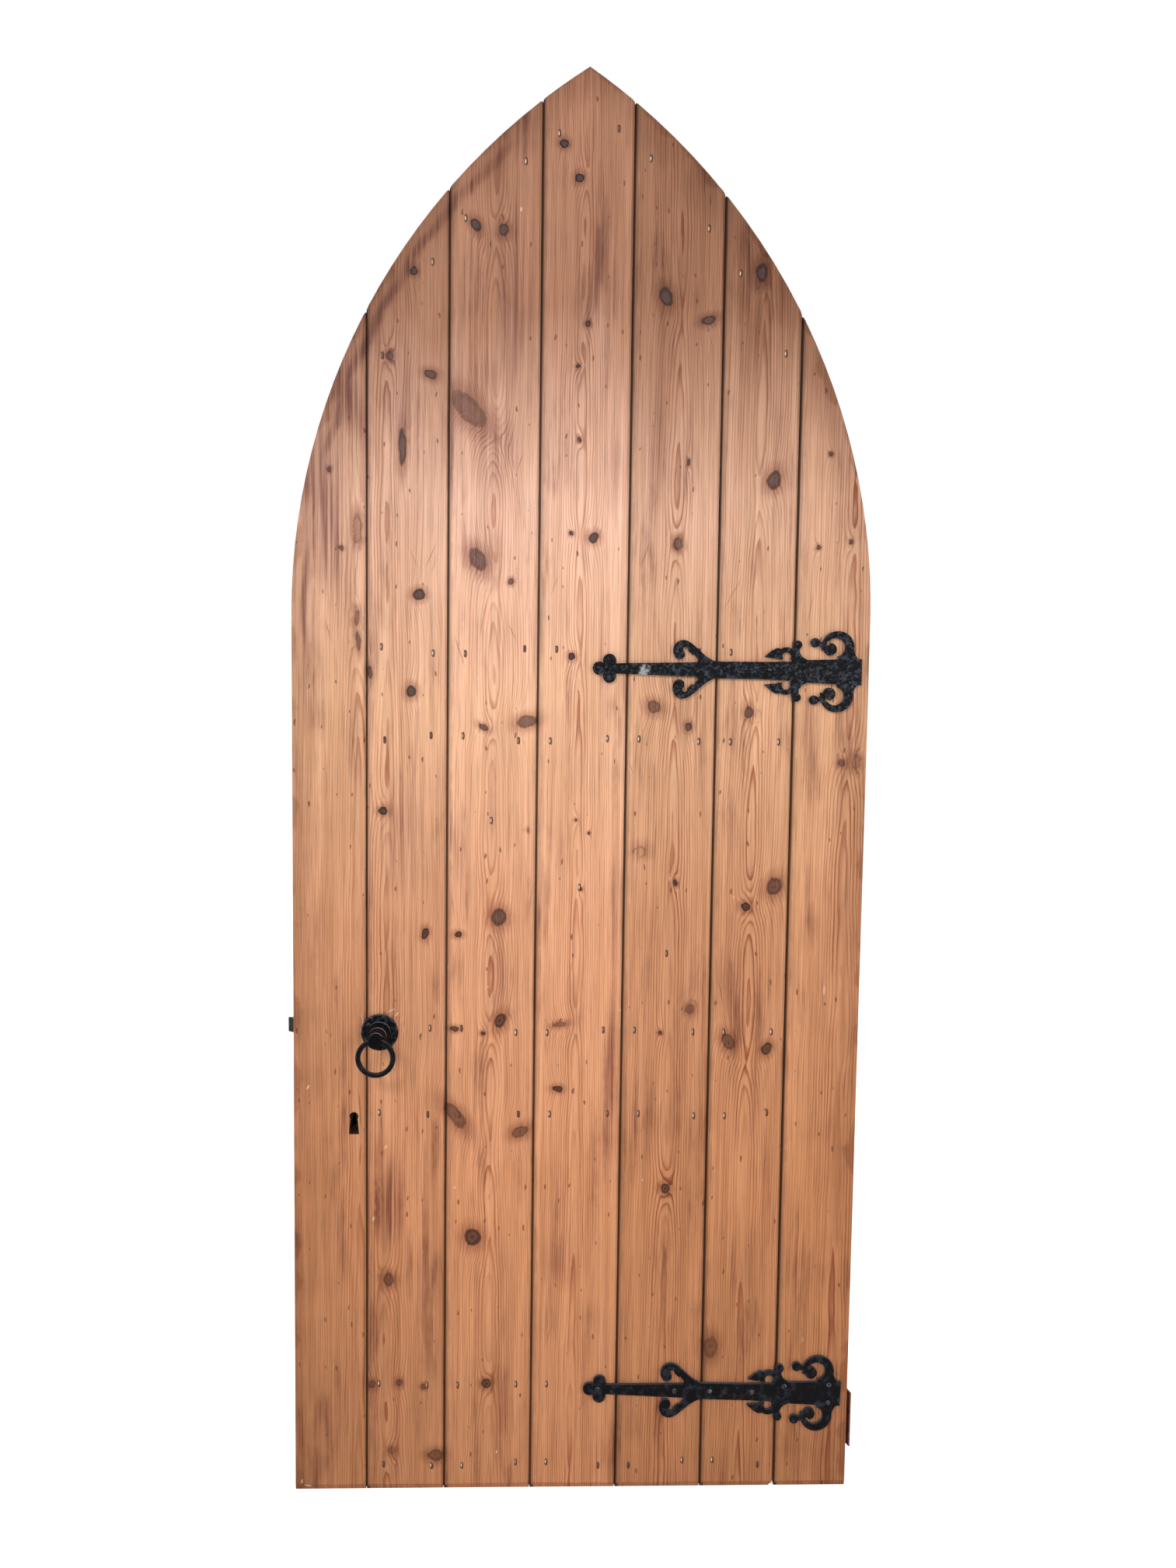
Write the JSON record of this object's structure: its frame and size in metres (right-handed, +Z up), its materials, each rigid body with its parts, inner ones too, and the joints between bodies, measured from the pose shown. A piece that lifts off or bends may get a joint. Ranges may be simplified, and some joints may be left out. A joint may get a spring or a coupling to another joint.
{
  "type": "arched door leaf",
  "caption": "Pointed-arch plank door leaf with ledges and braces, scrolled cast hinge fronts, butt hinges, ring handle, rim latch and rim lock.",
  "frame": {"origin": "middle of the leaf's width, on its foot, in the middle of the boards' thickness", "axes": "+Z up the leaf to the point of the arch; -Y out of the boarded front; +X towards the hinge edge"},
  "size_m": [0.8253, 0.1603, 1.981],
  "materials": {
    "front_pine": "old waxed pine, worn",
    "back_pine": "old waxed pine",
    "black_iron": "black, worn",
    "rusty_iron": "rusted",
    "worn_steel": "dull, worn",
    "nail_iron": "dull, with old filler"
  },
  "bodies": {
    "upper_jamb": {"upper_jamb_leaf": "rusty_iron"},
    "door": {"lock_stile": "front_pine", "hinge_stile": "front_pine", "board_1": "front_pine", "board_2": "front_pine", "board_3": "front_pine", "board_4": "front_pine", "board_5": "front_pine", "head_rail_left": "back_pine", "head_rail_right": "back_pine", "upper_ledge": "back_pine", "lock_ledge": "back_pine", "bottom_ledge": "back_pine", "upper_brace": "back_pine", "lower_brace": "back_pine", "ledge_nails": "nail_iron", "head_nails": "nail_iron", "brace_nails": "nail_iron", "upper_hinge_front": "black_iron", "lower_hinge_front": "black_iron", "upper_front_screws": "black_iron", "lower_front_screws": "black_iron", "handle_rose": "black_iron", "rose_screws": "black_iron", "latch_plate": "black_iron", "latch_case": "black_iron", "latch_screws": "black_iron", "lock_plate": "black_iron", "lock_case": "black_iron", "lock_screws": "black_iron", "upper_door_leaf": "rusty_iron", "upper_hinge_pin": "rusty_iron", "upper_leaf_screws": "rusty_iron", "lower_door_leaf": "rusty_iron", "lower_hinge_pin": "rusty_iron", "lower_leaf_screws": "rusty_iron", "latch_spring": "worn_steel"},
    "lower_jamb": {"lower_jamb_leaf": "rusty_iron"},
    "handle": {"handle_boss": "black_iron", "spindle": "worn_steel", "inner_knob": "black_iron", "knob_pin": "worn_steel", "latch_follower": "worn_steel"},
    "ring": {"ring_handle": "black_iron"},
    "latch": {"latch_bolt": "worn_steel"},
    "dead_bolt": {"dead_bolt": "worn_steel", "bolt_spring": "worn_steel"}
  },
  "joints": [
    {"name": "door_swing", "type": "hinge", "parent": "upper_jamb", "child": "door", "pos_m": [0.3985, 0.039, 1.131], "axis": [0, 0, -1], "range_deg": [0, 170]},
    {"name": "lower_leaf_swing", "type": "hinge", "parent": "door", "child": "lower_jamb", "pos_m": [0.3985, 0.039, 0.089], "axis": [0, 0, 1], "range_deg": [-14, 150]},
    {"name": "ring_turn", "type": "hinge", "parent": "door", "child": "handle", "pos_m": [-0.278, -0.03, 0.672], "axis": [0, 1, 0], "range_deg": [0, 45]},
    {"name": "ring_swing", "type": "hinge", "parent": "handle", "child": "ring", "pos_m": [-0.278, -0.054, 0.672], "axis": [-1, 0, 0], "range_deg": [-35, 110]},
    {"name": "latch_slide", "type": "slide", "parent": "door", "child": "latch", "axis": [1, 0, 0], "range_m": [0, 0.016], "stiffness_N_per_m": 250, "springref_m": -0.02, "deforming": ["latch_spring"]},
    {"name": "dead_bolt_throw", "type": "slide", "parent": "door", "child": "dead_bolt", "axis": [-1, 0, 0], "range_m": [0, 0.016]}
  ],
  "couplings": [
    {"joint": "latch_slide", "follows": "ring_turn", "m_per_rad": 0.020372}
  ]
}
